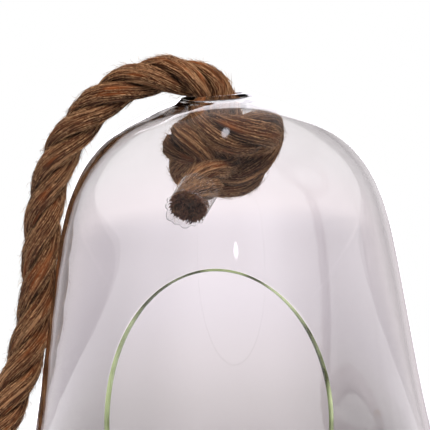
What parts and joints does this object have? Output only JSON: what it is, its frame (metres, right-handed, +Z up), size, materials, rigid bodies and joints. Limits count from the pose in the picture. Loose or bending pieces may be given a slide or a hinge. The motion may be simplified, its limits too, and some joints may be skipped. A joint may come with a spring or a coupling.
{
  "type": "hanging bell vase",
  "caption": "Bell-shaped blown glass vase with an oval front opening, on a thick rope that is knotted inside its crown and put away in a coil.",
  "frame": {"origin": "centre of the vessel's base, on the surface that it stands on", "axes": "+Z up through the crown hole, the oval opening faces -Y, the rope comes down on the -X side"},
  "size_m": [0.3688, 0.2057, 0.241],
  "materials": {
    "glass": "clear, mouth-blown, with ground and fire-polished edges",
    "rope": "brown three-strand jute, hairy",
    "tape": "clear packing tape, glossy",
    "tie": "natural twine"
  },
  "bodies": {
    "vessel": {"glass_vessel": "glass"},
    "rope": {"rope_knot": "rope", "rope_tail": "rope", "tail_tape": "tape", "rope_run": "rope", "rope_coil": "rope", "coil_tie": "tie", "far_end_tape": "tape"}
  },
  "joints": [
    {"name": "rope_swivel", "type": "hinge", "parent": "vessel", "child": "rope", "pos_m": [0, 0, 0.225], "axis": [0, 0, 1], "continuous": true}
  ]
}
